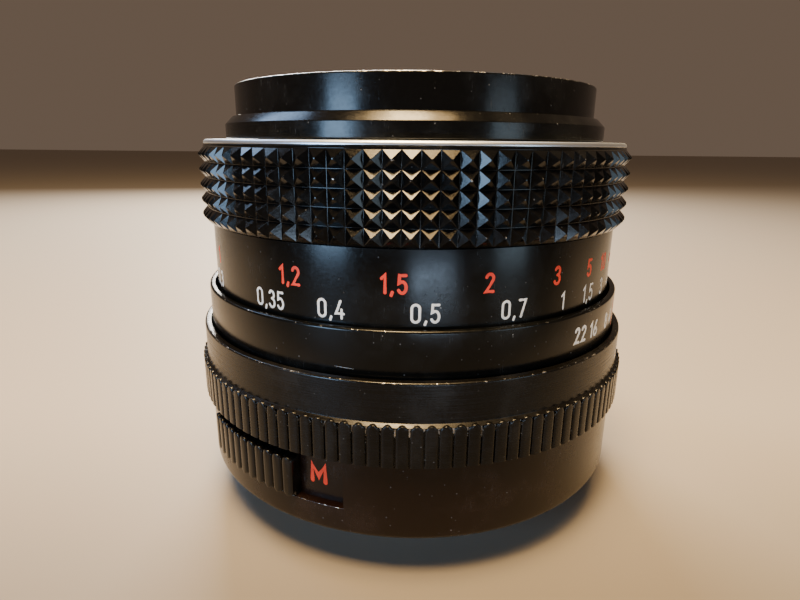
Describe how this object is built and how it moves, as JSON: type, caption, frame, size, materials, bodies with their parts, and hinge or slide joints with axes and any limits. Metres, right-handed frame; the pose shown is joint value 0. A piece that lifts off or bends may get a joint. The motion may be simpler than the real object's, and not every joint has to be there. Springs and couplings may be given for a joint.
{
  "type": "prime camera lens",
  "caption": "Standard manual-focus prime lens for a screw-mount film camera, with focusing and aperture rings, a leaf iris and an auto/manual switch.",
  "frame": {"origin": "on the optical axis at the rear end of the mount thread, which the lens stands on", "axes": "+Z along the optical axis from the mount to the front; the pictured side faces -Y; +X to its right"},
  "size_m": [0.0644, 0.0644, 0.0575],
  "materials": {
    "base_black": "satin black lacquer",
    "ring_black": "semi-gloss black lacquer",
    "aperture_black": "satin black lacquer, finely turned",
    "grip_black": "gloss black lacquer, worn on the points",
    "front_black": "gloss black lacquer, bright at the rim edge",
    "switch_black": "satin black",
    "bare_aluminium": "bright turned",
    "mount_steel": "turned",
    "screw_steel": "plain",
    "barrel_anodised": "black anodised",
    "inside_matt_black": "matt black",
    "helicoid_brass": "turned and greased",
    "blade_steel": "blued",
    "engraving_white": "white engraving paint",
    "engraving_red": "orange-red engraving paint",
    "optical_glass": "polished and coated"
  },
  "bodies": {
    "body": {"rear_housing": "base_black", "mount_thread_ring": "mount_steel", "mount_screw_1": "screw_steel", "mount_screw_2": "screw_steel", "mount_screw_3": "screw_steel", "rear_cover_plate": "inside_matt_black", "depth_of_field_ring": "ring_black", "fixed_helicoid": "helicoid_brass", "guide_key_1": "helicoid_brass", "guide_key_2": "helicoid_brass", "click_ball": "screw_steel", "click_spring": "screw_steel", "pin_bush": "helicoid_brass", "pin_bracket": "screw_steel", "pin_spring": "screw_steel"},
    "aperture_ring": {"aperture_ring": "aperture_black"},
    "auto_manual_switch": {"auto_manual_switch": "switch_black"},
    "diaphragm_pin": {"diaphragm_pin": "screw_steel"},
    "lens_block": {"front_barrel": "barrel_anodised", "filter_ring": "front_black", "name_ring": "inside_matt_black", "front_cell": "inside_matt_black", "front_retaining_ring": "barrel_anodised", "front_spacer": "inside_matt_black", "rear_cell": "inside_matt_black", "rear_spacer": "inside_matt_black", "rear_retaining_ring": "barrel_anodised", "lens_element_1": "optical_glass", "lens_element_2": "optical_glass", "lens_element_3": "optical_glass", "lens_element_4": "optical_glass", "lens_element_5": "optical_glass", "lens_element_6": "optical_glass", "iris_housing": "inside_matt_black", "iris_retaining_ring": "inside_matt_black"},
    "focus_ring": {"focus_grip_ring": "grip_black", "focus_trim_ring": "bare_aluminium", "distance_scale_barrel": "ring_black", "rotating_helicoid": "helicoid_brass", "clamp_screw_1": "screw_steel", "clamp_screw_2": "screw_steel", "clamp_screw_3": "screw_steel"},
    "iris_cam": {"iris_cam_ring": "helicoid_brass"},
    "iris_blade_1": {"iris_blade_1": "blade_steel"},
    "iris_blade_2": {"iris_blade_2": "blade_steel"},
    "iris_blade_3": {"iris_blade_3": "blade_steel"},
    "iris_blade_4": {"iris_blade_4": "blade_steel"},
    "iris_blade_5": {"iris_blade_5": "blade_steel"},
    "iris_blade_6": {"iris_blade_6": "blade_steel"}
  },
  "joints": [
    {"name": "block_slide", "type": "slide", "parent": "body", "child": "lens_block", "axis": [0, 0, 1], "range_m": [0, 0.0134]},
    {"name": "focus_turn", "type": "hinge", "parent": "lens_block", "child": "focus_ring", "pos_m": [0, 0, 0], "axis": [0, 0, 1], "range_deg": [0, 131]},
    {"name": "aperture_turn", "type": "hinge", "parent": "body", "child": "aperture_ring", "pos_m": [0, 0, 0], "axis": [0, 0, 1], "range_deg": [-63, 0]},
    {"name": "iris_cam_turn", "type": "hinge", "parent": "lens_block", "child": "iris_cam", "pos_m": [0, 0, 0], "axis": [0, 0, 1], "range_deg": [0, 3.1]},
    {"name": "iris_blade_1_turn", "type": "hinge", "parent": "lens_block", "child": "iris_blade_1", "pos_m": [0.0184, 0, 0.02425], "axis": [0, 0, 1], "range_deg": [0, 29.6]},
    {"name": "iris_blade_2_turn", "type": "hinge", "parent": "lens_block", "child": "iris_blade_2", "pos_m": [0.0092, 0.01594, 0.02425], "axis": [0, 0, 1], "range_deg": [0, 29.6]},
    {"name": "iris_blade_3_turn", "type": "hinge", "parent": "lens_block", "child": "iris_blade_3", "pos_m": [-0.0092, 0.01594, 0.02425], "axis": [0, 0, 1], "range_deg": [0, 29.6]},
    {"name": "iris_blade_4_turn", "type": "hinge", "parent": "lens_block", "child": "iris_blade_4", "pos_m": [-0.0184, 0, 0.02425], "axis": [0, 0, 1], "range_deg": [0, 29.6]},
    {"name": "iris_blade_5_turn", "type": "hinge", "parent": "lens_block", "child": "iris_blade_5", "pos_m": [-0.0092, -0.01594, 0.02425], "axis": [0, 0, 1], "range_deg": [0, 29.6]},
    {"name": "iris_blade_6_turn", "type": "hinge", "parent": "lens_block", "child": "iris_blade_6", "pos_m": [0.0092, -0.01594, 0.02425], "axis": [0, 0, 1], "range_deg": [0, 29.6]},
    {"name": "switch_slide", "type": "hinge", "parent": "body", "child": "auto_manual_switch", "pos_m": [0, 0, 0], "axis": [0, 0, 1], "range_deg": [0, 11.3]},
    {"name": "pin_press", "type": "slide", "parent": "body", "child": "diaphragm_pin", "axis": [0, 0, 1], "range_m": [0, 0.003], "stiffness_N_per_m": 150, "springref_m": -0.003, "deforming": ["pin_spring"]}
  ],
  "couplings": [
    {"joint": "block_slide", "follows": "focus_turn", "m_per_rad": 0.005841},
    {"joint": "iris_cam_turn", "follows": "aperture_turn", "ratio": -0.04841},
    {"joint": "iris_blade_1_turn", "follows": "aperture_turn", "ratio": -0.46825},
    {"joint": "iris_blade_2_turn", "follows": "aperture_turn", "ratio": -0.46825},
    {"joint": "iris_blade_3_turn", "follows": "aperture_turn", "ratio": -0.46825},
    {"joint": "iris_blade_4_turn", "follows": "aperture_turn", "ratio": -0.46825},
    {"joint": "iris_blade_5_turn", "follows": "aperture_turn", "ratio": -0.46825},
    {"joint": "iris_blade_6_turn", "follows": "aperture_turn", "ratio": -0.46825}
  ]
}
